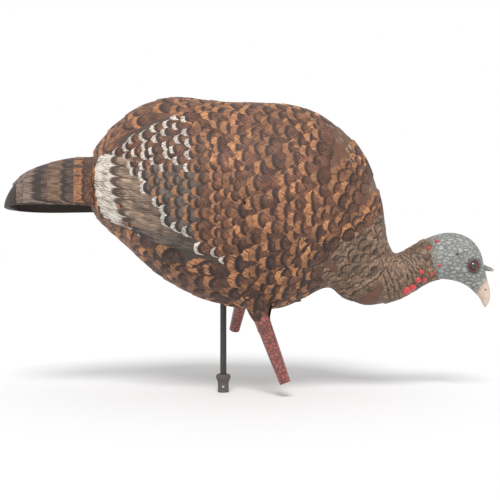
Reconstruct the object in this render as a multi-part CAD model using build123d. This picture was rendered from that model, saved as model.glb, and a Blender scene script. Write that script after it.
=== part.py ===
"""Feeding turkey-hen decoy on a ground stake.

Frame: millimetres, +X towards the bill, +Y to the bird's left, +Z up. The origin is on the
stake's axis where the ground spike enters the ground.

The bird is a hollow soft-vinyl moulding. It hangs on a stake through a blind inner sleeve and
turns in the wind on a loose cap at the stake's tip. Head and neck, tail, wing panels, legs and
eyes are separate mouldings that are bonded to it.
"""

from build123d import *
import os
from math import cos, radians, sin, tan

os.makedirs("parts", exist_ok=True)

# ---------------------------------------------------------------- driving dimensions, mm
# The bird. The pattern tables below are drawn at these three sizes and stretch with them.
BIRD_LENGTH = 732.0  # tail tip to the tip of the snood
BACK_HEIGHT = 439.0  # ground line to the highest point of the back
BODY_WIDTH = 236.0  # across the widest part of the body

# Walls and fits
SHELL_WALL = 3.0  # body, neck and head moulding
TAIL_WALL = 3.5
WING_THICKNESS = 3.5
BOND_GAP = 0.2  # glue line between bonded pieces
PANEL_GAP = 0.3  # wing panel to body
RUNNING_GAP = 0.08  # radial, swivel cap on the stake
SLIDING_GAP = 0.10  # radial, swivel cap in the sleeve
REST_GAP = 0.1  # between faces that rest on each other

# Stake
STAKE_DIAMETER = 9.5
STAKE_WALL = 1.25
SPIKE_DIAMETER = 10.0
SPIKE_LENGTH = 172.0  # below the ground line, point included
SPIKE_POINT = 24.0
SPIKE_TENON = 46.0  # goes up inside the stake tube
COLLAR_DIAMETER = 16.4
COLLAR_RIM_DIAMETER = 22.0
COLLAR_HEIGHT = 27.0
COLLAR_CUP_DEPTH = 7.0
COLLAR_PIN_DIAMETER = 3.0
COLLAR_PIN_HEIGHT = 9.0
TIP_PLUG_LENGTH = 15.0  # inside the tube
SWIVEL_CAP_LENGTH = 32.0
SWIVEL_CAP_WALL = 1.7
SWIVEL_CAP_ROOF = 4.0

# Sleeve and its supports inside the bird
SLEEVE_WALL = 2.0
SLEEVE_ROOF = 3.0
PIVOT_PAD_THICKNESS = 3.0
SADDLE_DIAMETER = 84.0
SADDLE_THICKNESS = 4.0
SADDLE_HUB_WALL = 4.0
SADDLE_HUB_LENGTH = 24.0
BOSS_WALL = 5.0
BOSS_HEIGHT = 34.0

# Legs
LEG_FOOT_DIAMETER = 17.0
LEG_TAPER = 0.062  # growth of the diameter per mm of length
LEG_WALL = 1.6
RIGHT_LEG_LENGTH = 101.0
LEFT_LEG_LENGTH = 72.0
LEG_SPIGOT = 18.0  # how far the thigh goes into the leg
THIGH_FLARE = 0.30  # growth of the thigh's diameter per mm above the leg
THIGH_ROOT = 24.0  # how far the thigh reaches in past the belly
RIGHT_FOOT = Vector(91, -58, 21)
LEFT_FOOT = Vector(15, 100, 86)
RIGHT_LEG_SWING = 20.2  # degrees, forwards
LEFT_LEG_SWING = -13.9
LEG_SPLAY = {"right": 7.0, "left": 28.0}  # degrees, outwards

# Neck joint, eyes, snood, valve
NECK_SPIGOT = 16.0
NECK_SPIGOT_WALL = 3.0
NECK_COLLAR = 6.0  # length of thickened neck that carries the spigot
EYE_DIAMETER = 17.0
EYE_PROUD = 3.2  # how far the dome stands out of the skin
EYE_DEPTH = 6.5  # dome to flat back
EYE_X, EYE_Z = 367.0, 188.5
SNOOD_BASE_DIAMETER = 13.0
SNOOD_TIP_DIAMETER = 5.0
SNOOD_LENGTH = 24.0
SNOOD_DROOP = 14.0  # degrees below level
VALVE_X = 91.5
VALVE_LEAN = 8.0  # degrees, the outlet leans forward of straight down
VALVE_SEAT_DIAMETER = 9.4
VALVE_BORE = 6.0
VALVE_SEAT_LENGTH = 16.0
VALVE_FLANGE_DIAMETER = 17.0
VALVE_FLANGE_THICKNESS = 1.6
VALVE_PLUG_HEAD = 3.0
VALVE_PLUG_STEM = 12.0

# Tail
TAIL_RIM_Z = 275.0  # height of the fan's lower edge
TAIL_ROLL = -4.0  # degrees about the fan's length, the left edge hangs lower
TAIL_ROOT_X = -156.0  # front end of the fan, inside the rump

# ---------------------------------------------------------------- pattern tables
# Sizes at which the pattern was drawn, so that a new BIRD_LENGTH, say, stretches the bird.
PATTERN_LENGTH, PATTERN_HEIGHT, PATTERN_WIDTH = 732.0, 439.0, 236.0
STRETCH_X = BIRD_LENGTH / PATTERN_LENGTH
STRETCH_Y = BODY_WIDTH / PATTERN_WIDTH
STRETCH_Z = BACK_HEIGHT / PATTERN_HEIGHT

# Each station is an oval across the body: its highest point (x, z), its lowest point (x, z)
# and its half width. They turn with the bird's spine as the neck goes down to the ground.
BODY_STATIONS = [
    ((-196, 336), (-196, 296), 22),
    ((-190, 360), (-190, 266), 46),
    ((-172, 386), (-172, 246), 70),
    ((-146, 410), (-146, 223), 90),
    ((-111, 431), (-110, 189), 106),
    ((-62, 439), (-60, 156), 115),
    ((0, 432), (0, 133), 118),
    ((58, 431), (56, 127), 117),
    ((104, 427), (94, 131), 111),
    ((146, 412), (128, 147), 100),
    ((184, 385), (150, 157), 86),
    ((212, 349), (164, 156), 72),
    ((230, 304), (178, 144), 60),
    ((240, 255), (200, 134), 50),
]
NECK_SEAM = ((250, 212), (226, 131), 41)
HEAD_STATIONS = [
    ((264, 208), (257, 138), 36),
    ((286, 220), (284, 151), 31),
    ((306, 231), (312, 167), 27.5),
    ((328, 238), (334, 169), 25.5),
    ((350, 238), (350, 166), 25),
    ((372, 228), (362, 161), 22.5),
    ((386, 208), (372, 154), 17),
    ((391, 188), (380, 146), 12.5),
    ((396, 168), (386, 138), 9.5),
    ((400, 150), (390, 130), 6.5),
    ((399, 137), (393, 127), 3.5),
]
HOLLOW_HEAD_STATIONS = 6  # the bill beyond these is solid

# The tail fan: x, height of the ridge over the rim, half width
TAIL_STATIONS = [
    (-156, 75, 43),
    (-194, 77, 50),
    (-218, 75, 55),
    (-242, 71, 59),
    (-266, 64, 61),
    (-290, 54, 57),
    (-304, 44, 49),
    (-315, 31, 37),
    (-323, 17, 22),
    (-326, 7, 9),
]

# Side outline of a wing panel, as (x, z) going round from the rear lower corner
WING_OUTLINE = [
    (-177, 264),
    (-184, 300),
    (-178, 340),
    (-156, 362),
    (-104, 391),
    (-60, 402),
    (-20, 385),
    (12, 350),
    (28, 297),
    (24, 236),
    (2, 197),
    (-31, 191),
    (-88, 209),
    (-146, 252),
]

# ---------------------------------------------------------------- helpers


def spot(x, z):
    """A pattern point on the bird's middle plane, stretched to size."""
    return Vector(x * STRETCH_X, 0, z * STRETCH_Z)


def station(top, base, half_width, inset=0.0):
    """The oval face of one station, drawn in by inset all round."""
    top, base = spot(*top), spot(*base)
    up = (top - base).normalized()
    across = Plane(origin=(top + base) * 0.5, x_dir=(0, 1, 0), z_dir=Vector(0, 1, 0).cross(up))
    return across * Ellipse(half_width * STRETCH_Y - inset, (top - base).length / 2 - inset)


def bird(inset=0.0, head_count=len(HEAD_STATIONS)):
    """Body, neck and head as one smooth form, drawn in by inset.

    A deep inset would turn the bill inside out, so it takes fewer of the head's stations.
    """
    stations = [*BODY_STATIONS, NECK_SEAM, *HEAD_STATIONS[:head_count]]
    return loft([station(*s, inset) for s in stations])


def seam_plane(ahead=0.0):
    """The plane of the neck joint, moved ahead along the neck; its Z points at the head."""
    top, base = spot(*NECK_SEAM[0]), spot(*NECK_SEAM[1])
    up = (top - base).normalized()
    normal = Vector(0, 1, 0).cross(up)
    return Plane(origin=(top + base) * 0.5 + normal * ahead, x_dir=(0, 1, 0), z_dir=normal)


def bill_plane():
    """The plane of the head station where the hollow ends and the solid bill begins."""
    top, base, _ = HEAD_STATIONS[HOLLOW_HEAD_STATIONS - 1]
    top, base = spot(*top), spot(*base)
    normal = Vector(0, 1, 0).cross((top - base).normalized())
    return Plane(origin=(top + base) * 0.5, x_dir=(0, 1, 0), z_dir=normal)


def beside(plane, depth):
    """A big block on the side of a plane that its Z points at, or the other if depth < 0."""
    size = 2 * BIRD_LENGTH
    return plane * Pos(0, 0, depth / 2) * Box(size, size, abs(depth))


def crossings(solid, start, direction):
    """Distances along a line at which it goes in and out of a solid, nearest first."""
    reach = 3 * BIRD_LENGTH
    far = start + direction * reach
    edges = (solid & Line(start, far)).edges()
    return sorted((end - start).length for edge in edges for end in (edge @ 0, edge @ 1))


def rod(start, direction, length, radius, end_radius=None):
    """A round bar, or a cone, from start along direction."""
    place = Plane(origin=start, z_dir=direction)
    shape = Cylinder(radius, length) if end_radius is None else Cone(radius, end_radius, length)
    return place * Pos(0, 0, length / 2) * shape


def turned(points):
    """A solid of revolution about the stake from its (radius, height) outline."""
    return revolve(make_face(Polyline(*[(r, 0, z) for r, z in points], close=True)), Axis.Z)


def save(node, shape):
    """Writes one sub-part."""
    shape.label = node
    export_step(shape, f"parts/{node}.step")


# ---------------------------------------------------------------- sizes that follow
stake_radius = STAKE_DIAMETER / 2
tube_bore = stake_radius - STAKE_WALL
tenon_radius = tube_bore - BOND_GAP / 2
cap_bore = stake_radius + RUNNING_GAP
cap_radius = cap_bore + SWIVEL_CAP_WALL
sleeve_bore = cap_radius + SLIDING_GAP
sleeve_radius = sleeve_bore + SLEEVE_WALL
boss_radius = sleeve_radius + BOND_GAP + BOSS_WALL

body_outer = bird()
body_inner = bird(SHELL_WALL)
belly_z, back_z = crossings(body_outer, Vector(0, 0, 0), Vector(0, 0, 1))[:2]
inner_back_z = crossings(body_inner, Vector(0, 0, 0), Vector(0, 0, 1))[1]

saddle_top_z = inner_back_z - BOND_GAP
sleeve_top_z = saddle_top_z - SADDLE_THICKNESS - 1.0
pad_z = sleeve_top_z - SLEEVE_ROOF - PIVOT_PAD_THICKNESS
cap_top_z = pad_z - REST_GAP
dome_top_z = cap_top_z - SWIVEL_CAP_ROOF - REST_GAP
tube_top_z = dome_top_z - stake_radius
tube_base_z = REST_GAP

# ---------------------------------------------------------------- stake


def ground_spike():
    """Steel spike whose tenon goes up inside the tube."""
    point_z = SPIKE_POINT - SPIKE_LENGTH
    spike = turned(
        [
            (0, -SPIKE_LENGTH),
            (SPIKE_DIAMETER / 2, point_z),
            (SPIKE_DIAMETER / 2, 0),
            (tenon_radius, 0),
            (tenon_radius, SPIKE_TENON),
            (0, SPIKE_TENON),
        ]
    )
    return spike - collar_pin_bar(BOND_GAP / 2)


def collar_pin_bar(grow=0.0):
    """The cross pin's bar, or the hole for it."""
    length = COLLAR_DIAMETER - 0.6 + (COLLAR_DIAMETER if grow else 0)
    bar = Cylinder(COLLAR_PIN_DIAMETER / 2 + grow, length)
    return Pos(0, 0, COLLAR_PIN_HEIGHT) * Rot(90, 0, 0) * bar


def stake_collar():
    """Cup-mouthed collar that stops at the ground."""
    barrel, rim = COLLAR_DIAMETER / 2, COLLAR_RIM_DIAMETER / 2
    bore = stake_radius + BOND_GAP / 2
    cup = COLLAR_HEIGHT - COLLAR_CUP_DEPTH
    outline = [
        (bore, 0),
        (barrel, 0),
        (barrel, 0.55 * COLLAR_HEIGHT),
        (rim, 0.80 * COLLAR_HEIGHT),
        (rim, 0.92 * COLLAR_HEIGHT),
        (rim - 1.6, COLLAR_HEIGHT),
        (rim - 3.2, COLLAR_HEIGHT),
        (bore + 0.8, cup),
        (bore, cup),
    ]
    return turned(outline) - collar_pin_bar(BOND_GAP / 2)


def stake_tube():
    """Black composite tube from the collar to the tip plug."""
    outline = [
        (tube_bore, tube_base_z),
        (stake_radius, tube_base_z),
        (stake_radius, tube_top_z),
        (tube_bore, tube_top_z),
    ]
    return turned(outline) - collar_pin_bar(BOND_GAP / 2)


def tip_plug():
    """Plug with a domed head that carries the swivel cap."""
    shank = rod(Vector(0, 0, tube_top_z - TIP_PLUG_LENGTH), Vector(0, 0, 1), TIP_PLUG_LENGTH, tenon_radius)
    dome = Pos(0, 0, tube_top_z) * Sphere(stake_radius)
    return shank + dome - beside(Plane.XY.offset(tube_top_z), -TIP_PLUG_LENGTH) + shank


def swivel_cap():
    """Loose acetal cap that turns on the tube and sits in the sleeve."""
    foot_z = cap_top_z - SWIVEL_CAP_LENGTH
    roof_z = cap_top_z - SWIVEL_CAP_ROOF
    edge = 1.2
    return turned(
        [
            (cap_bore, foot_z),
            (cap_radius - edge / 2, foot_z),
            (cap_radius, foot_z + edge),
            (cap_radius, cap_top_z - edge),
            (cap_radius - edge, cap_top_z),
            (0, cap_top_z),
            (0, roof_z),
            (cap_bore, roof_z),
        ]
    )


# ---------------------------------------------------------------- sleeve and supports


def stake_sleeve():
    """Blind tube from the belly to the back, cut flush with the belly."""
    tube = turned(
        [
            (sleeve_bore, 0),
            (sleeve_radius, 0),
            (sleeve_radius, sleeve_top_z),
            (0, sleeve_top_z),
            (0, sleeve_top_z - SLEEVE_ROOF),
            (sleeve_bore, sleeve_top_z - SLEEVE_ROOF),
        ]
    )
    return tube & body_outer


def pivot_pad():
    """Hard disc in the sleeve's roof that rides on the swivel cap."""
    return rod(Vector(0, 0, pad_z), Vector(0, 0, 1), PIVOT_PAD_THICKNESS, sleeve_bore - BOND_GAP / 2)


def back_saddle():
    """Dome under the back that spreads the load, with a hub over the sleeve."""
    column = rod(Vector(0, 0, belly_z), Vector(0, 0, 1), back_z, SADDLE_DIAMETER / 2)
    upper = bird(SHELL_WALL + BOND_GAP, HOLLOW_HEAD_STATIONS)
    lower = bird(SHELL_WALL + BOND_GAP + SADDLE_THICKNESS, HOLLOW_HEAD_STATIONS)
    dome = (column & upper) - lower
    dome -= beside(Plane.XY.offset((belly_z + back_z) / 2), -BACK_HEIGHT)
    hub_z = sleeve_top_z - SADDLE_HUB_LENGTH
    hub_radius = sleeve_radius + BOND_GAP + SADDLE_HUB_WALL
    hub = rod(Vector(0, 0, hub_z), Vector(0, 0, 1), SADDLE_HUB_LENGTH * 3, hub_radius) & upper
    bore_length = sleeve_top_z + BOND_GAP - hub_z
    bore = rod(Vector(0, 0, hub_z), Vector(0, 0, 1), bore_length, sleeve_radius + BOND_GAP)
    return dome + hub - bore


# ---------------------------------------------------------------- legs


def leg_direction(side):
    """Unit vector down one leg."""
    swing = RIGHT_LEG_SWING if side == "right" else LEFT_LEG_SWING
    out = -1 if side == "right" else 1
    return Vector(tan(radians(swing)), out * tan(radians(LEG_SPLAY[side])), -1).normalized()


def leg_length(side):
    return RIGHT_LEG_LENGTH if side == "right" else LEFT_LEG_LENGTH


def leg_foot(side):
    return RIGHT_FOOT if side == "right" else LEFT_FOOT


def leg_radius(above_foot, inset=0.0):
    """Radius of a leg at a distance above its foot."""
    return (LEG_FOOT_DIAMETER + LEG_TAPER * above_foot) / 2 - inset


def leg_tube(side):
    """Tapered open tube, printed with scales."""
    foot, up, length = leg_foot(side), leg_direction(side) * -1, leg_length(side)
    outer = rod(foot, up, length, leg_radius(0), leg_radius(length))
    bore = rod(foot, up, length, leg_radius(0, LEG_WALL), leg_radius(length, LEG_WALL))
    return outer - bore


def thigh(side):
    """Flared boss under the belly, with the spigot that goes into the leg."""
    foot, up, length = leg_foot(side), leg_direction(side) * -1, leg_length(side)
    top = foot + up * (length + BOND_GAP)
    to_belly = crossings(body_outer, top, up)
    reach = (to_belly[0] if to_belly else 0) + THIGH_ROOT
    radius = leg_radius(length)
    flare = rod(top, up, reach, radius, radius + THIGH_FLARE * reach / 2)
    fit = LEG_WALL + BOND_GAP
    spigot_end = foot + up * (length - LEG_SPIGOT)
    spigot_radius = leg_radius(length - LEG_SPIGOT, fit)
    spigot = rod(spigot_end, up, LEG_SPIGOT + BOND_GAP, spigot_radius, leg_radius(length, fit))
    return flare + spigot


# ---------------------------------------------------------------- valve

valve_out = Vector(sin(radians(VALVE_LEAN)), 0, -cos(radians(VALVE_LEAN)))
_inside = Vector(VALVE_X, 0, (belly_z + back_z) / 2)
valve_mouth = _inside + valve_out * crossings(body_outer, _inside, valve_out)[-1]
valve_wall_in = _inside + valve_out * crossings(body_inner, _inside, valve_out)[-1]


def valve_seat():
    """Soft ring through the belly wall, flanged on the inside."""
    tube = rod(valve_mouth, valve_out * -1, VALVE_SEAT_LENGTH, VALVE_SEAT_DIAMETER / 2)
    flange_at = valve_wall_in - valve_out * REST_GAP
    flange = rod(flange_at, valve_out * -1, VALVE_FLANGE_THICKNESS, VALVE_FLANGE_DIAMETER / 2)
    bore = rod(valve_mouth, valve_out * -1, VALVE_SEAT_LENGTH, VALVE_BORE / 2)
    return tube + (flange & bird(SHELL_WALL + REST_GAP)) - bore


def valve_plug():
    """Push-in plug; its head is the nub under the belly."""
    head_at = valve_mouth + valve_out * REST_GAP
    head = rod(head_at, valve_out, VALVE_PLUG_HEAD, VALVE_SEAT_DIAMETER / 2)
    head = chamfer(head.edges().group_by(Axis.Z)[0], 0.6)
    stem_length = VALVE_PLUG_STEM + REST_GAP
    stem_radius = VALVE_BORE / 2 - RUNNING_GAP
    stem = rod(head_at, valve_out * -1, stem_length, stem_radius, 0.8 * stem_radius)
    return head + stem


# ---------------------------------------------------------------- tail


def tail_form(inset=0.0, shorten=0.0):
    """The fan as a full oval form about its rim plane, drawn in by inset."""
    faces = []
    for x, ridge, half_width in TAIL_STATIONS:
        if x * STRETCH_X < TAIL_STATIONS[-1][0] * STRETCH_X + shorten:
            continue
        across = Plane(origin=(x * STRETCH_X, 0, TAIL_RIM_Z * STRETCH_Z), x_dir=(0, 1, 0), z_dir=(1, 0, 0))
        faces.append(across * Ellipse(half_width * STRETCH_Y - inset, ridge * STRETCH_Z - inset))
    return loft(faces)


def tail_arch(outer_inset, inner_inset):
    """The arched fan between two insets, cut at its rim and rolled on its length."""
    arch = tail_form(outer_inset) - tail_form(inner_inset, shorten=TAIL_WALL)
    rim = Plane.XY.offset(TAIL_RIM_Z * STRETCH_Z + outer_inset)
    arch -= beside(rim, -BACK_HEIGHT)
    ridge_axis = Axis((0, 0, TAIL_RIM_Z * STRETCH_Z), (1, 0, 0))
    return arch.rotate(ridge_axis, TAIL_ROLL)


# ---------------------------------------------------------------- wings, eyes


def wing_panel(side):
    """Thin panel that follows the body's side."""
    out = -1 if side == "right" else 1
    points = [spot(x, z) for x, z in WING_OUTLINE]
    outline = make_face(Spline(*points, periodic=True))
    block = extrude(outline, amount=BODY_WIDTH, dir=(0, out, 0))
    return (block & bird(-PANEL_GAP - WING_THICKNESS)) - bird(-PANEL_GAP)


def eye_frame(side):
    """Plane on the face at the eye, its Z pointing outwards."""
    out = -1 if side == "right" else 1
    inside = spot(EYE_X, EYE_Z)
    sight = Vector(0.22, out, 0.06).normalized()
    skin = crossings(body_outer, inside, sight)[-1]
    return Plane(origin=inside + sight * skin, z_dir=sight)


def eye_form(side, grow=0.0):
    """Domed eye with a flat back."""
    radius = EYE_DIAMETER / 2 + grow
    frame = eye_frame(side)
    ball = frame * Pos(0, 0, EYE_PROUD - EYE_DIAMETER / 2) * Sphere(radius)
    back = frame.offset(EYE_PROUD - EYE_DEPTH - grow)
    return ball - beside(back, -EYE_DIAMETER * 2)


# ---------------------------------------------------------------- head


def head_and_neck():
    """Hollow head and neck with the snood, eye sockets and the spigot for the body."""
    ahead = beside(seam_plane(REST_GAP), BIRD_LENGTH)
    behind_bill = beside(bill_plane(), -BIRD_LENGTH)
    skin = body_outer & ahead
    shell = skin - (body_inner & behind_bill)
    collar = bird(SHELL_WALL / 2) & (ahead & beside(seam_plane(NECK_COLLAR), -BIRD_LENGTH))
    plug_reach = NECK_SPIGOT + NECK_COLLAR / 2
    plug = bird(SHELL_WALL + BOND_GAP) & beside(seam_plane(-NECK_SPIGOT), plug_reach)
    bore = bird(SHELL_WALL + BOND_GAP + NECK_SPIGOT_WALL, HOLLOW_HEAD_STATIONS)
    ring = collar + plug - bore
    snood_dir = Vector(cos(radians(SNOOD_DROOP)), 0, -sin(radians(SNOOD_DROOP)))
    snood_tip = spot(406, 182.5) - snood_dir * SNOOD_TIP_DIAMETER / 2
    snood_base = snood_tip - snood_dir * SNOOD_LENGTH
    snood = rod(snood_base, snood_dir, SNOOD_LENGTH, SNOOD_BASE_DIAMETER / 2, SNOOD_TIP_DIAMETER / 2)
    snood += Pos(*snood_tip) * Sphere(SNOOD_TIP_DIAMETER / 2)
    head = shell + ring + snood
    for side in ("right", "left"):
        head += eye_form(side, SHELL_WALL) & skin
        head -= eye_form(side, BOND_GAP)
    return head


# ---------------------------------------------------------------- body


def body_shell():
    """Hollow body with the sleeve boss, thighs and openings for what plugs into it."""
    shell = body_outer - body_inner
    shell -= beside(seam_plane(), BIRD_LENGTH)
    boss = rod(Vector(0, 0, belly_z - BOSS_HEIGHT), Vector(0, 0, 1), 2 * BOSS_HEIGHT, boss_radius)
    shell += boss & body_outer
    for side in ("right", "left"):
        shell += thigh(side)
    shell -= rod(Vector(0, 0, 0), Vector(0, 0, 1), back_z / 2, sleeve_radius + BOND_GAP)
    shell -= tail_arch(-PANEL_GAP, TAIL_WALL + PANEL_GAP)
    valve_hole = VALVE_SEAT_DIAMETER / 2 + BOND_GAP / 2
    shell -= rod(valve_mouth + valve_out * 9, valve_out * -1, 14, valve_hole)
    return shell


# ---------------------------------------------------------------- build
for node, make in [
    ("ground_spike", ground_spike),
    ("stake_collar", stake_collar),
    ("collar_pin", collar_pin_bar),
    ("stake_tube", stake_tube),
    ("tip_plug", tip_plug),
    ("swivel_cap", swivel_cap),
    ("stake_sleeve", stake_sleeve),
    ("pivot_pad", pivot_pad),
    ("back_saddle", back_saddle),
    ("valve_seat", valve_seat),
    ("valve_plug", valve_plug),
    ("body_shell", body_shell),
    ("head_and_neck", head_and_neck),
]:
    save(node, make())

save("tail_fan", tail_arch(0, TAIL_WALL))
for side in ("right", "left"):
    save(f"{side}_leg", leg_tube(side))
    save(f"{side}_wing", wing_panel(side))
    save(f"{side}_eye", eye_form(side))
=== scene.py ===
"""Feeding turkey-hen decoy: painted feather relief, head details, printed legs and stake."""
import math
import random

import bpy
from bpy.props import FloatProperty, FloatVectorProperty, PointerProperty, StringProperty
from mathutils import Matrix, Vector
from mathutils.bvhtree import BVHTree


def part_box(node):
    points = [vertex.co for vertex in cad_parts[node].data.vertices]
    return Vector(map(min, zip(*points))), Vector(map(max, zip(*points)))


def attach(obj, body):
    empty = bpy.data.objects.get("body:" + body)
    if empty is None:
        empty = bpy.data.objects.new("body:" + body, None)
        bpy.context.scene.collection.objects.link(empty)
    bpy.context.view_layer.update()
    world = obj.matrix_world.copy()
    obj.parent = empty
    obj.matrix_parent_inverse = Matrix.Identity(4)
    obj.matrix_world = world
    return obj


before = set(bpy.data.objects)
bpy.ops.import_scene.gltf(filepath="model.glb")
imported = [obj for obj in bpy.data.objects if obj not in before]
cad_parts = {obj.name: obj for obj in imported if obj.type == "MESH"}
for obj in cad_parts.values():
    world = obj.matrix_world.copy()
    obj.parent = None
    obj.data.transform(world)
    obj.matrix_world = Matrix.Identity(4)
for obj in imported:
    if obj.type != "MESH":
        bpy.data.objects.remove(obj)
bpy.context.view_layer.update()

bl_info = {
    "name": "Turkey Hen Decoy",
    "version": (1, 0, 0),
    "blender": (4, 5, 0),
    "location": "View3D > Sidebar > Decoy",
    "description": "Builds the painted surfaces of a hollow turkey-hen decoy on its packed frame",
    "category": "Object",
}

MM = 0.001
SIDES = {"right": -1, "left": 1}

# Centre line of the bird from the rump to the bare skin of the face, x and z in mm.
SPINE = [(-180, 315), (-110, 310), (-40, 295), (30, 281), (90, 279), (145, 275), (180, 255),
         (208, 215), (238, 172), (272, 181), (302, 198)]
# Across the wing: where the long flight feathers start and where they end, x and z in mm.
FLIGHT_ROOT = [(-118, 352), (-112, 318), (-104, 285), (-84, 252), (-56, 222), (-4, 199)]
FLIGHT_TIP = [(-172, 352), (-180, 330), (-181, 305), (-179, 284), (-172, 264), (-142, 244)]
# Feather length and width along the spine, in mm, from rump to throat.
PLUMAGE = [(46, 34), (50, 38), (50, 38), (44, 34), (34, 26), (24, 17), (18, 12)]
THROAT_X = 0.318  # where feathers give way to bare skin
OUTSIDE = 0.35  # further from the spine than any surface
SIDE_REACH = 0.4  # further out to the side than a wing
SKIN_REACH = 0.2  # further out to the side than the head, or from the middle of the tail
LAY_REACH = 0.04  # how far above a feather's plane the search for its surface starts


# ---------------------------------------------------------------- settings
class DecoyColours(bpy.types.PropertyGroup):
    """Paint colours, as sRGB hex."""

    back: StringProperty(name="Back", description="Feathers of the back", default="7a523d")
    rump: StringProperty(name="Rump", description="Feathers over the tail root", default="8a6048")
    belly: StringProperty(name="Belly", description="Feathers of the underside", default="6a4837")
    neck: StringProperty(name="Neck", description="Small feathers of the neck", default="8f745f")
    coverts: StringProperty(name="Coverts", description="Short wing feathers", default="6c5f57")
    flight: StringProperty(name="Flight", description="Long wing feathers", default="a48d79")
    tail: StringProperty(name="Tail", description="Tail feathers", default="6d584b")
    edge: StringProperty(name="Edge", description="Light feather edges", default="b98055")
    pale_edge: StringProperty(name="Pale edge", description="Near-white edges", default="f2ebde")
    skin: StringProperty(name="Skin", description="Bare head skin", default="a0a29e")
    bill: StringProperty(name="Bill", description="Horn of the bill", default="e4cab7")
    wattle: StringProperty(name="Wattle", description="Red wattles", default="c23a3c")
    leg: StringProperty(name="Leg", description="Leg print", default="9a5048")
    stake: StringProperty(name="Stake", description="Stake tube", default="35302d")


class DecoySizes(bpy.types.PropertyGroup):
    """Relief sizes."""

    relief: FloatProperty(name="Relief", description="Step at a feather's tip", default=2.4 * MM,
                          unit="LENGTH", min=0.0)
    eye_ring: FloatProperty(name="Eye ring", description="Thickness of the lid", default=1.1 * MM,
                            unit="LENGTH", min=0.0)
    view_distance: FloatProperty(name="Camera distance", description="Camera to the stake",
                                 default=1.5, unit="LENGTH", min=0.5)
    view_centre: FloatVectorProperty(name="View centre", description="Point the camera faces",
                                     default=(0.040, 0.0, 0.213), subtype="XYZ")


# ---------------------------------------------------------------- colours and nodes
def linear(hex_colour, gain=1.0):
    """Linear RGBA of an sRGB hex colour."""
    parts = [int(hex_colour[i:i + 2], 16) / 255 for i in (0, 2, 4)]
    parts = [p / 12.92 if p <= 0.04045 else ((p + 0.055) / 1.055) ** 2.4 for p in parts]
    return (*[min(1.0, p * gain) for p in parts], 1.0)


def add_node(tree, kind, inputs=None, **settings):
    """Adds a node, sets its properties, and sets or links its inputs."""
    node = tree.nodes.new(kind)
    for key, value in settings.items():
        setattr(node, key, value)
    for key, value in (inputs or {}).items():
        if isinstance(value, bpy.types.NodeSocket):
            tree.links.new(value, node.inputs[key])
        else:
            node.inputs[key].default_value = value
    return node


def new_material(name, roughness, coat=0.0):
    """A material with its shader, and its node tree cleared of all else."""
    material = bpy.data.materials.new(name)
    material.use_nodes = True
    tree = material.node_tree
    tree.nodes.clear()
    shader = add_node(tree, "ShaderNodeBsdfPrincipled", {"Roughness": roughness, "Coat Weight": coat})
    add_node(tree, "ShaderNodeOutputMaterial", {"Surface": shader.outputs[0]})
    return material, tree, shader


def maths(tree, operation, a, b=0.0):
    return add_node(tree, "ShaderNodeMath", {0: a, 1: b}, operation=operation).outputs[0]


def mix(tree, factor, a, b, blend="MIX"):
    node = add_node(tree, "ShaderNodeMix", {0: factor, 6: a, 7: b}, data_type="RGBA", blend_type=blend)
    return node.outputs[2]


def band(tree, value, low, high, soft=0.04):
    """1 between low and high, with soft edges."""
    up = add_node(tree, "ShaderNodeMapRange", {0: value, 1: low - soft, 2: low + soft}).outputs[0]
    down = add_node(tree, "ShaderNodeMapRange", {0: value, 1: high + soft, 2: high - soft}).outputs[0]
    return maths(tree, "MULTIPLY", up, down)


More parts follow.
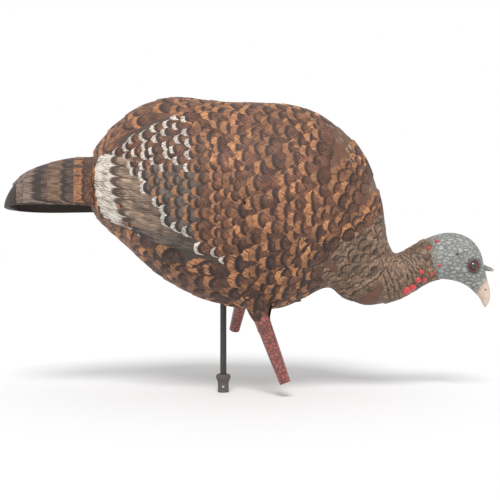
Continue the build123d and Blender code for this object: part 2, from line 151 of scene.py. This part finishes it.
def feather_material(name, barbs, dark_band, vermiculation=0.0):
    """Soft vinyl, moulded with barbs and painted feather by feather, with a dry matt coat.

    barbs is how many barb lines lie along one feather. The dark band is the crescent that the
    painter lays inside the light edge.
    """
    material, tree, shader = new_material(name, 0.62)
    uv = add_node(tree, "ShaderNodeUVMap", uv_map="feather")
    axes = add_node(tree, "ShaderNodeSeparateXYZ", {0: uv.outputs[0]})
    across = maths(tree, "ABSOLUTE", maths(tree, "SUBTRACT", axes.outputs[0], 0.5))
    across = maths(tree, "MULTIPLY", across, 2.0)
    tip = maths(tree, "MULTIPLY", axes.outputs[1], 1.9)
    tip = maths(tree, "MAXIMUM", maths(tree, "SUBTRACT", tip, 0.4), 0.0)
    rim = maths(tree, "SQRT", maths(tree, "ADD", maths(tree, "POWER", across, 2.6),
                                    maths(tree, "POWER", tip, 2.0)))
    tint = add_node(tree, "ShaderNodeAttribute", attribute_name="tint").outputs[0]
    edge = add_node(tree, "ShaderNodeAttribute", attribute_name="edge").outputs[0]
    place = add_node(tree, "ShaderNodeTexCoord").outputs["Object"]
    # Hand-sprayed paint drifts over about 12 mm.
    drift = add_node(tree, "ShaderNodeTexNoise", {"Vector": place, "Scale": 80.0, "Detail": 4.0})
    # Barbs run out and back from the shaft.
    slant = maths(tree, "SUBTRACT", axes.outputs[1], maths(tree, "MULTIPLY", across, 0.35))
    wobble = maths(tree, "MULTIPLY", drift.outputs[0], 0.05)
    phase = maths(tree, "MULTIPLY", maths(tree, "ADD", slant, wobble), barbs * 2 * math.pi)
    barb = maths(tree, "MULTIPLY", maths(tree, "ADD", maths(tree, "SINE", phase), 1.0), 0.5)
    # The brush leaves streaks that follow the barbs, and an edge that comes and goes.
    brush = add_node(tree, "ShaderNodeCombineXYZ", {0: maths(tree, "MULTIPLY", slant, 26.0),
                                                    1: maths(tree, "MULTIPLY", across, 1.2)}).outputs[0]
    apart = add_node(tree, "ShaderNodeVectorMath", {0: place, "Scale": 60.0}, operation="SCALE")
    brush = add_node(tree, "ShaderNodeVectorMath", {0: brush, 1: apart.outputs[0]}).outputs[0]
    streak = add_node(tree, "ShaderNodeTexNoise", {"Vector": brush, "Scale": 1.0, "Detail": 2.0})
    streak = add_node(tree, "ShaderNodeMapRange", {0: streak.outputs[0], 1: 0.38, 2: 0.60}).outputs[0]
    dark = mix(tree, 1.0, tint, (0.13, 0.11, 0.12, 1.0), "MULTIPLY")
    # The barb crests are lightened with a brighter copy of the tint: painted highlight along the moulded
    # barb ridges.
    light = mix(tree, 1.0, tint, (1.75, 1.62, 1.45, 1.0), "MULTIPLY")
    colour = mix(tree, maths(tree, "MULTIPLY", barb, 0.55), tint, light)
    shade = add_node(tree, "ShaderNodeMapRange", {0: drift.outputs[0], 1: 0.44, 2: 0.62}).outputs[0]
    colour = mix(tree, maths(tree, "MULTIPLY", shade, 0.5), colour, dark)
    if vermiculation:
        wave = add_node(tree, "ShaderNodeTexWave", {"Vector": place, "Scale": 90.0, "Distortion": 9.0,
                                                    "Detail": 3.0}, bands_direction="X")
        colour = mix(tree, maths(tree, "MULTIPLY", wave.outputs[1], vermiculation), colour, dark)
    crescent = maths(tree, "MULTIPLY", band(tree, rim, *dark_band), 0.85)
    colour = mix(tree, crescent, colour, dark)
    colour = mix(tree, maths(tree, "MULTIPLY", maths(tree, "SUBTRACT", 1.0, streak), 0.85), colour, dark)
    painted = maths(tree, "ADD", maths(tree, "MULTIPLY", streak, 0.75), 0.15)
    edging = band(tree, rim, dark_band[1] + 0.03, 3.0, 0.03)
    colour = mix(tree, maths(tree, "MULTIPLY", edging, painted), colour, edge)
    # Each feather darkens towards its root, which lies under the tip of the feather before it: painted
    # shade between the overlapping feathers.
    root = add_node(tree, "ShaderNodeMapRange", {0: axes.outputs[1], 1: 0.35, 2: 0.0}).outputs[0]
    colour = mix(tree, maths(tree, "MULTIPLY", root, 0.6), colour, dark)
    tree.links.new(colour, shader.inputs["Base Color"])
    bump = add_node(tree, "ShaderNodeBump", {"Height": barb, "Strength": 0.5, "Distance": 0.4 * MM})
    tree.links.new(bump.outputs[0], shader.inputs["Normal"])
    return material


def moulded_material(name, colour, grain_mm, roughness, depth=0.3, coat=0.0, spread=0.45):
    """A moulded plastic with mottled paint and a fine moulded grain of a real size in mm."""
    material, tree, shader = new_material(name, roughness, coat)
    place = add_node(tree, "ShaderNodeTexCoord").outputs["Object"]
    mottle = add_node(tree, "ShaderNodeTexNoise", {"Vector": place, "Scale": 70.0, "Detail": 5.0})
    grain = add_node(tree, "ShaderNodeTexVoronoi", {"Vector": place, "Scale": 1000.0 / grain_mm})
    low, high = linear(colour, 1 - spread), linear(colour, 1 + spread)
    tree.links.new(mix(tree, mottle.outputs[0], low, high), shader.inputs["Base Color"])
    bump = add_node(tree, "ShaderNodeBump", {"Height": grain.outputs[0], "Strength": depth,
                                             "Distance": 0.3 * MM})
    tree.links.new(bump.outputs[0], shader.inputs["Normal"])
    return material


def head_material(colours):
    """Soft vinyl skin: wrinkled blue-grey over the head, horn on the bill, tan on the neck."""
    material, tree, shader = new_material("Painted vinyl skin", 0.5)
    place = add_node(tree, "ShaderNodeTexCoord").outputs["Object"]
    axes = add_node(tree, "ShaderNodeSeparateXYZ", {0: place})
    # Caruncles about 5 mm across, drawn out along the head.
    stretched = add_node(tree, "ShaderNodeMapping", {0: place, 3: (0.7, 1.0, 1.25)}).outputs[0]
    noise = add_node(tree, "ShaderNodeTexNoise", {"Vector": stretched, "Scale": 120.0, "Detail": 5.0})
    warped = mix(tree, 0.012, stretched, noise.outputs[1], "ADD")
    folds = add_node(tree, "ShaderNodeTexVoronoi", {"Vector": warped, "Scale": 150.0},
                     feature="DISTANCE_TO_EDGE")
    # The creases between the caruncles are darkened down to a seventh of the skin colour: painted shade in
    # the folds.
    crease = add_node(tree, "ShaderNodeMapRange", {0: folds.outputs[0], 1: 0.01, 2: 0.30}).outputs[0]
    skin = mix(tree, crease, linear(colours.skin, 0.14), linear(colours.skin, 1.0))
    skin = mix(tree, maths(tree, "MULTIPLY", noise.outputs[0], 0.45), skin, linear(colours.skin, 1.5))
    neck = mix(tree, noise.outputs[0], linear(colours.neck, 0.25), linear(colours.neck, 0.9))
    to_skin = add_node(tree, "ShaderNodeMapRange", {0: axes.outputs[0], 1: 0.300, 2: 0.318}).outputs[0]
    # The skin darkens round the eye.
    low, high = (Vector(c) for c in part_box("right_eye"))
    middle = (low + high) / 2
    flat = add_node(tree, "ShaderNodeCombineXYZ", {0: axes.outputs[0], 2: axes.outputs[2]}).outputs[0]
    away = add_node(tree, "ShaderNodeVectorMath", {0: flat, 1: (middle.x, 0, middle.z)},
                    operation="DISTANCE").outputs["Value"]
    round_eye = add_node(tree, "ShaderNodeMapRange", {0: away, 1: 0.015, 2: 0.009}).outputs[0]
    skin = mix(tree, maths(tree, "MULTIPLY", round_eye, 0.85), skin, linear("33302e"))
    colour = mix(tree, to_skin, neck, skin)
    # The bill lies ahead of a line that leans back as it goes down.
    ahead = maths(tree, "SUBTRACT", maths(tree, "MULTIPLY", axes.outputs[0], 0.82),
                  maths(tree, "MULTIPLY", axes.outputs[2], 0.57))
    to_bill = add_node(tree, "ShaderNodeMapRange", {0: ahead, 1: 0.2220, 2: 0.2290}).outputs[0]
    streaks = add_node(tree, "ShaderNodeTexNoise", {"Vector": place, "Scale": 220.0}).outputs[0]
    horn = mix(tree, streaks, linear(colours.bill, 0.6), linear(colours.bill, 1.05))
    tree.links.new(mix(tree, to_bill, colour, horn), shader.inputs["Base Color"])
    relief = mix(tree, to_bill, crease, streaks)
    bump = add_node(tree, "ShaderNodeBump", {"Height": relief, "Strength": 0.8, "Distance": 0.9 * MM})
    tree.links.new(bump.outputs[0], shader.inputs["Normal"])
    return material


def leg_material(name, colours):
    """Extruded tube wrapped in a glossy scale print, with scales about 6 mm across."""
    material, tree, shader = new_material(name, 0.22, coat=0.6)
    place = add_node(tree, "ShaderNodeTexCoord").outputs["Object"]
    scales = add_node(tree, "ShaderNodeTexVoronoi", {"Vector": place, "Scale": 165.0},
                      feature="DISTANCE_TO_EDGE")
    gap = add_node(tree, "ShaderNodeMapRange", {0: scales.outputs[0], 1: 0.03, 2: 0.20}).outputs[0]
    tone = add_node(tree, "ShaderNodeTexNoise", {"Vector": place, "Scale": 60.0}).outputs[0]
    scale_colour = mix(tree, tone, linear(colours.leg, 0.55), linear(colours.leg, 1.35))
    tree.links.new(mix(tree, gap, linear("5a2a24"), scale_colour), shader.inputs["Base Color"])
    return material


# ---------------------------------------------------------------- surfaces and feathers
def surface(*nodes):
    """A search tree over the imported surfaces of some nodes, in metres."""
    points, faces = [], []
    for name in nodes:
        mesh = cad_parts[name].data
        start = len(points)
        points += [v.co.copy() for v in mesh.vertices]
        faces += [tuple(start + i for i in p.vertices) for p in mesh.polygons]
    return BVHTree.FromPolygons(points, faces)


def along(points, share):
    """Point and direction at a share of a polyline's length, in metres, at y = 0."""
    line = [Vector((x, 0, z)) * MM for x, z in points]
    steps = [(b - a).length for a, b in zip(line, line[1:])]
    left = share * sum(steps)
    for a, b, step in zip(line, line[1:], steps):
        if left <= step or b is line[-1]:
            return a.lerp(b, min(1.0, left / step)), (b - a).normalized()
        left -= step


def blend_sizes(table, share):
    place = share * (len(table) - 1)
    low = min(int(place), len(table) - 2)
    part = place - low
    return [(a + (b - a) * part) * MM for a, b in zip(table[low], table[low + 1])]


class Plumage:
    """Feathers gathered into one mesh, each laid on a surface."""

    def __init__(self, tree, relief):
        self.tree, self.relief = tree, relief
        self.points, self.faces, self.uvs, self.tints, self.edges = [], [], [], [], []

    def lay(self, hit, outward, flow, length, width, tint, edge, back=0.0, rows=6, columns=4,
            lift=1.0, blunt=0.45):
        """Lays one feather along flow, bent to the surface that is seen from outward.

        Its root lies back from hit, against the flow.
        """
        start = len(self.points)
        flow = (flow - outward * flow.dot(outward)).normalized()
        side = flow.cross(outward)
        root = hit - flow * back
        for row in range(rows + 1):
            v = row / rows
            taper = math.sin(math.pi * min(1.0, 0.28 + v * 0.5)) if v < blunt else math.sqrt(
                max(0.0, 1 - ((v - blunt) / (1.0001 - blunt)) ** 2.4))
            for column in range(columns + 1):
                u = column / columns
                spot = root + flow * length * v + side * (u - 0.5) * width * max(taper, 0.08)
                # The outermost surface, so that a feather laps over a panel's edge.
                on, out, _, _ = self.tree.ray_cast(spot + outward * LAY_REACH, -outward, 2 * LAY_REACH)
                if on is None:
                    on, out, _, _ = self.tree.find_nearest(spot)
                if out.dot(outward) < 0:
                    out = -out
                # The tip stands proud, the shaft crowns, and the rim goes down into the skin.
                rise = 0.25 + 0.75 * v + 0.30 * (1 - abs(2 * u - 1))
                if column in (0, columns) or row in (0, rows):
                    rise = -0.25
                self.points.append(on + out * self.relief * lift * rise)
                self.uvs.append((u, v))
                self.tints.append(tint)
                self.edges.append(edge)
        wide = columns + 1
        for row in range(rows):
            for column in range(columns):
                a = start + row * wide + column
                self.faces.append((a, a + 1, a + 1 + wide, a + wide))

    def build(self, name, material):
        """Makes the mesh, with its colours and its feather coordinates."""
        mesh = bpy.data.meshes.new(name)
        mesh.from_pydata(self.points, [], self.faces)
        for key, values in (("tint", self.tints), ("edge", self.edges)):
            layer = mesh.color_attributes.new(key, "FLOAT_COLOR", "POINT")
            layer.data.foreach_set("color", [c for value in values for c in value])
        uv = mesh.uv_layers.new(name="feather")
        for loop in mesh.loops:
            uv.data[loop.index].uv = self.uvs[loop.vertex_index]
        for polygon in mesh.polygons:
            centre, out = polygon.center, polygon.normal
            _, surface_out, _, _ = self.tree.find_nearest(centre)
            if out.dot(surface_out) < 0:
                polygon.flip()
        mesh.materials.append(material)
        mesh.shade_smooth()
        piece = bpy.data.objects.new(name, mesh)
        bpy.context.scene.collection.objects.link(piece)
        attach(piece, "decoy")
        return piece


def varied(rng, hex_colour, amount=0.16):
    return linear(hex_colour, 1 + rng.uniform(-amount, amount))


def settings():
    scene = bpy.context.scene
    return scene.decoy_colours, scene.decoy_sizes


def repaint(node, material):
    """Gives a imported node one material."""
    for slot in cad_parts[node].material_slots:
        slot.link = "OBJECT"
        slot.material = material


# ---------------------------------------------------------------- operators
class DECOY_OT_body(bpy.types.Operator):
    """Lays the feathers of the body and the neck"""

    bl_idname = "decoy.body"
    bl_label = "Body feathers"

    def execute(self, context):
        colours, sizes = settings()
        rng = random.Random(7)
        skin = surface("body_shell", "head_and_neck", "right_wing", "left_wing")
        wings = surface("right_wing", "left_wing")
        base = moulded_material("Painted soft vinyl", colours.belly, 2.5, 0.65)
        repaint("body_shell", base)
        body = Plumage(skin, sizes.relief)
        neck = Plumage(skin, sizes.relief * 0.6)
        share, row = 0.0, 0
        while share < 1.0:
            centre, ahead = along(SPINE, share)
            up = Vector((-ahead.z, 0, ahead.x))
            length, width = blend_sizes(PLUMAGE, share)
            top = skin.ray_cast(centre + up * OUTSIDE, -up)[0]
            side = skin.ray_cast(centre + Vector((0, OUTSIDE, 0)), Vector((0, -1, 0)))[0]
            girth = math.pi * ((top - centre).length + (side - centre).length) if top and side else 0.3
            count = max(8, round(girth / (width * 0.78)))
            for k in range(count):
                turn = 2 * math.pi * (k + 0.5 * (row % 2)) / count
                out = Vector((0, math.cos(turn), 0)) + up * math.sin(turn)
                hit, normal, _, _ = skin.ray_cast(centre + out * OUTSIDE, -out)
                if hit is None or hit.x > THROAT_X:
                    continue
                height = math.sin(turn)
                upstream = hit + ahead * 0.016 + Vector((0, 0, 0.010))
                if wings.find_nearest(hit)[3] < 0.003 and wings.find_nearest(upstream)[3] < 0.006:
                    continue
                if share > 0.72:
                    tint, edge, target = colours.neck, colours.neck, neck
                elif hit.x < -0.11:
                    tint, edge, target = colours.rump, colours.edge, body
                elif height < -0.35:
                    tint, edge, target = colours.belly, colours.edge, body
                else:
                    tint, edge, target = colours.back, colours.edge, body
                stray = Vector([rng.uniform(-0.16, 0.16) for _ in range(3)])
                flow = (-ahead - Vector((0, 0, 0.18 * (1 - abs(height)))) + stray).normalized()
                size = rng.uniform(0.85, 1.2)
                back = length * (0.45 + rng.uniform(-0.12, 0.12))
                target.lay(hit, normal, flow, length * size, width * size, varied(rng, tint, 0.35),
                           varied(rng, edge, 0.45), back=back, lift=rng.uniform(0.8, 1.25))
            share += length * 0.42 / 0.66
            row += 1
        body.build("Body_feathers", feather_material("Painted feather vinyl", 11, (0.72, 0.93)))
        neck.build("Neck_feathers", feather_material("Painted neck vinyl", 5, (0.80, 1.02)))
        return {"FINISHED"}


class DECOY_OT_wings(bpy.types.Operator):
    """Lays coverts and flight feathers on both wings"""

    bl_idname = "decoy.wings"
    bl_label = "Wing feathers"

    def execute(self, context):
        colours, sizes = settings()
        panel = moulded_material("Painted wing vinyl", "4a3d35", 2.5, 0.65)
        covert_paint = feather_material("Painted covert vinyl", 8, (0.72, 0.97))
        flight_paint = feather_material("Painted flight vinyl", 26, (0.62, 0.80))
        for name, out in SIDES.items():
            rng = random.Random(11)
            node = f"{name}_wing"
            repaint(node, panel)
            tree = surface(node)
            flights = Plumage(tree, sizes.relief * 1.3)
            # The first coverts are rooted on the body and hide the panel's front edge.
            both = surface(node, "body_shell")
            coverts = Plumage(both, sizes.relief)

            def on_wing(x, z, search=tree):
                return search.ray_cast(Vector((x, out * SIDE_REACH, z)), Vector((0, -out, 0)))[:2]

            count = 12
            for k in range(count):
                start, _ = along(FLIGHT_ROOT, k / (count - 1))
                end, _ = along(FLIGHT_TIP, k / (count - 1))
                root, facing = on_wing(start.x + 0.012, start.z)
                tip, _ = on_wing(end.x, end.z)
                if root is None or tip is None:
                    continue
                shade = colours.flight if k < 8 else colours.coverts
                flights.lay(root, facing, (tip - root).normalized(), (tip - root).length * 1.03, 0.023,
                            varied(rng, shade, 0.2), linear(colours.pale_edge), rows=12, blunt=0.8)
            for row in range(16):
                for column in range(17):
                    x = 0.052 - 0.015 * row + rng.uniform(-0.004, 0.004)
                    z = 0.186 + 0.0155 * (column + 0.5 * (row % 2)) + rng.uniform(-0.003, 0.003)
                    start, _ = along(FLIGHT_ROOT, min(1.0, max(0.0, (0.352 - z) / 0.149)))
                    hit, facing = on_wing(x, z, both)
                    reach, _ = on_wing(x - 0.022, z)
                    if hit is None or reach is None or (x < start.x + 0.012 and z < 0.345):
                        continue
                    top = z > 0.330
                    tint = colours.back if (top or row < 5) else colours.coverts
                    edge = colours.pale_edge if (top and row > 4) or x < start.x + 0.03 else colours.edge
                    flow = Vector((-1, 0, -0.22 if top else -0.05)).normalized()
                    size = (0.036, 0.024) if top or row > 3 else (0.028, 0.020)
                    coverts.lay(hit, facing, flow, *size, varied(rng, tint, 0.25), varied(rng, edge, 0.15))
            flights.build(f"{name}_flight_feathers", flight_paint)
            coverts.build(f"{name}_covert_feathers", covert_paint)
        return {"FINISHED"}


class DECOY_OT_tail(bpy.types.Operator):
    """Lays the layered tail feathers"""

    bl_idname = "decoy.tail"
    bl_label = "Tail feathers"

    def execute(self, context):
        colours, sizes = settings()
        rng = random.Random(5)
        repaint("tail_fan", moulded_material("Painted tail vinyl", "332a26", 2.5, 0.7))
        tree = surface("tail_fan")
        low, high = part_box("tail_fan")
        fan = Plumage(tree, sizes.relief)
        middle_z = low[2] + 0.006
        # Each layer: where it starts and ends as a share of the fan from its tip, and its count.
        for begin, finish, count, tint, edge in (
            (0.80, 0.0, 15, colours.tail, "8f7c6f"),
            (0.82, 0.36, 13, colours.tail, "8a6a52"),
            (0.88, 0.60, 12, colours.rump, colours.edge),
        ):
            for k in range(count):
                turn = math.radians(8 + 164 * (k + 0.5) / count)
                out = Vector((0, math.cos(turn), math.sin(turn)))
                span = high[0] - low[0]
                x = low[0] + span * begin
                start = Vector((x, 0, middle_z))
                hit, facing, _, _ = tree.ray_cast(start + out * SKIN_REACH, -out)
                if hit is None:
                    continue
                length = span * (begin - finish) * (1 - 0.10 * abs(math.cos(turn)))
                fan.lay(hit, facing, Vector((-1, 0, 0)), length, 0.024, varied(rng, tint, 0.12),
                        linear(edge), rows=12, blunt=0.86, lift=1.1)
        fan.build("Tail_feathers",
                  feather_material("Painted tail feather vinyl", 30, (0.70, 0.88), 0.5))
        return {"FINISHED"}


class DECOY_OT_head(bpy.types.Operator):
    """Paints the head and adds lids, wattles, nostrils and ears"""

    bl_idname = "decoy.head"
    bl_label = "Head"

    def execute(self, context):
        colours, sizes = settings()
        repaint("head_and_neck", head_material(colours))
        skin = surface("head_and_neck")
        red = moulded_material("Painted wattle vinyl", colours.wattle, 1.5, 0.35, coat=0.3)
        lid = moulded_material("Painted lid vinyl", "6e2a28", 1.5, 0.4, coat=0.3)
        # Near-black vinyl for domes at the ear and nostril openings: painted shade inside those hollows.
        dark = moulded_material("Painted hollow shade vinyl", "2b2320", 1.5, 0.6)
        iris = moulded_material("Polished cast resin", "241510", 2.0, 0.06, depth=0.0, coat=1.0)
        for name, out in SIDES.items():
            node = f"{name}_eye"
            repaint(node, iris)
            low, high = (Vector(c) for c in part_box(node))
            centre = (low + high) / 2
            bpy.ops.object.select_all(action="DESELECT")
            bpy.ops.mesh.primitive_torus_add(major_radius=(high.z - low.z) / 2 * 0.93,
                                             minor_radius=sizes.eye_ring,
                                             major_segments=40, minor_segments=10)
            self.seat(f"{name}_eye_lid", skin, centre, out, lid, lift=0.4 * MM, lay_flat=True)
            for spot, radius, tag, paint in (
                ((0.346, 0.207), 2.2, "ear", dark),
                ((0.391, 0.154), 1.5, "nostril", dark),
            ):
                bpy.ops.object.select_all(action="DESELECT")
                bpy.ops.mesh.primitive_uv_sphere_add(radius=radius * MM, segments=16, ring_count=10)
                self.seat(f"{name}_{tag}", skin, Vector((spot[0], out * SKIN_REACH, spot[1])), out, paint,
                          lift=-radius * 0.55 * MM)
            rng = random.Random(3)
            for k, (x, z, size) in enumerate((
                (0.271, 0.154, 7.5), (0.280, 0.159, 6.0), (0.287, 0.169, 5.5), (0.298, 0.170, 5.0),
                (0.292, 0.181, 4.5), (0.304, 0.216, 3.2), (0.317, 0.226, 3.0), (0.308, 0.178, 3.6),
                (0.320, 0.190, 2.6),
            )):
                bpy.ops.object.select_all(action="DESELECT")
                bpy.ops.mesh.primitive_ico_sphere_add(radius=size * MM, subdivisions=3)
                for vertex in bpy.context.object.data.vertices:
                    vertex.co *= 1 + rng.uniform(-0.05, 0.05)
                self.seat(f"{name}_wattle_{k}", skin, Vector((x, out * SKIN_REACH, z)), out, red,
                          lift=-size * 0.15 * MM)
        return {"FINISHED"}

    def seat(self, name, skin, centre, out, material, lift=0.0, lay_flat=False):
        """Moves the new piece to the skin beside centre, with its place in its mesh."""
        piece = bpy.context.object
        piece.name = name
        start = Vector((centre.x, out * SKIN_REACH, centre.z))
        hit, normal, _, _ = skin.ray_cast(start, Vector((0, -out, 0)))
        if hit is None:
            raise RuntimeError(f"{name} finds no skin")
        if lay_flat:
            hit = centre + normal * 0.9 * MM
        turn = normal.to_track_quat("Z", "Y").to_matrix().to_4x4()
        turn.translation = hit + normal * lift
        piece.data.transform(turn)
        piece.matrix_world.identity()
        piece.data.materials.append(material)
        piece.data.shade_smooth()
        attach(piece, "decoy")


class DECOY_OT_fittings(bpy.types.Operator):
    """Finishes the legs, the stake and the valve"""

    bl_idname = "decoy.fittings"
    bl_label = "Legs, stake and valve"

    def execute(self, context):
        colours, _ = settings()
        for name in SIDES:
            repaint(f"{name}_leg", leg_material("Printed glossy tube", colours))
        composite = moulded_material("Pultruded composite", colours.stake, 0.8, 0.42, spread=0.25)
        nylon = moulded_material("Moulded nylon", "57514e", 0.9, 0.6, spread=0.25)
        for node in ("stake_tube", "tip_plug"):
            repaint(node, composite)
        repaint("stake_collar", nylon)
        repaint("valve_plug", moulded_material("Moulded rubber", "4a3a33", 1.0, 0.7))
        repaint("valve_seat", moulded_material("Moulded rubber seat", "4a3a33", 1.0, 0.7))
        return {"FINISHED"}


class DECOY_OT_stage(bpy.types.Operator):
    """Adds the floor, the light and the camera"""

    bl_idname = "decoy.stage"
    bl_label = "Stage"

    def execute(self, context):
        _, sizes = settings()
        scene = context.scene
        bpy.ops.object.select_all(action="DESELECT")
        bpy.ops.mesh.primitive_plane_add(size=30)
        floor = context.object
        floor.name = "Floor"
        material, _, shader = new_material("Matt white floor", 0.9)
        shader.inputs["Base Color"].default_value = (0.93, 0.93, 0.93, 1.0)
        floor.data.materials.append(material)
        world = bpy.data.worlds.new("Studio")
        scene.world = world
        world.use_nodes = True
        tree = world.node_tree
        tree.nodes.clear()
        rays = add_node(tree, "ShaderNodeLightPath")
        seen = maths(tree, "MAXIMUM", rays.outputs["Is Camera Ray"], rays.outputs["Is Glossy Ray"])
        strength = add_node(tree, "ShaderNodeMapRange", {0: seen, 3: 0.62, 4: 1.0}).outputs[0]
        sky = add_node(tree, "ShaderNodeBackground", {"Color": (1, 1, 1, 1), "Strength": strength})
        add_node(tree, "ShaderNodeOutputWorld", {"Surface": sky.outputs[0]})
        sun = bpy.data.lights.new("Softbox", "SUN")
        sun.energy, sun.angle = 2.1, math.radians(25)
        lamp = bpy.data.objects.new("Softbox", sun)
        lamp.rotation_euler = (math.radians(42), math.radians(8), math.radians(-10))
        scene.collection.objects.link(lamp)
        lens = bpy.data.cameras.new("Camera")
        lens.sensor_width, lens.lens = 36.0, 36.0 * sizes.view_distance / 0.75
        camera = bpy.data.objects.new("Camera", lens)
        centre = Vector(sizes.view_centre)
        camera.location = centre - Vector((0, sizes.view_distance, 0))
        camera.rotation_euler = (math.radians(90), 0, 0)
        scene.collection.objects.link(camera)
        scene.camera = camera
        scene.view_settings.view_transform = "Standard"
        return {"FINISHED"}


STEPS = (DECOY_OT_body, DECOY_OT_wings, DECOY_OT_tail, DECOY_OT_head, DECOY_OT_fittings, DECOY_OT_stage)


class DECOY_PT_panel(bpy.types.Panel):
    """Lists the decoy's settings and steps"""

    bl_idname = "DECOY_PT_panel"
    bl_label = "Turkey hen decoy"
    bl_space_type = "VIEW_3D"
    bl_region_type = "UI"
    bl_category = "Decoy"

    def draw(self, context):
        for group in settings():
            for key in group.bl_rna.properties.keys():
                if key not in ("rna_type", "name"):
                    self.layout.prop(group, key)
        for step in STEPS:
            self.layout.operator(step.bl_idname)


CLASSES = (DecoyColours, DecoySizes, *STEPS, DECOY_PT_panel)


def register():
    for item in CLASSES:
        bpy.utils.register_class(item)
    bpy.types.Scene.decoy_colours = PointerProperty(type=DecoyColours)
    bpy.types.Scene.decoy_sizes = PointerProperty(type=DecoySizes)


def unregister():
    del bpy.types.Scene.decoy_sizes
    del bpy.types.Scene.decoy_colours
    for item in reversed(CLASSES):
        bpy.utils.unregister_class(item)


def main():
    """Builds everything."""
    register()
    for step in ("body", "wings", "tail", "head", "fittings", "stage"):
        getattr(bpy.ops.decoy, step)()


if __name__ == "__main__":
    main()
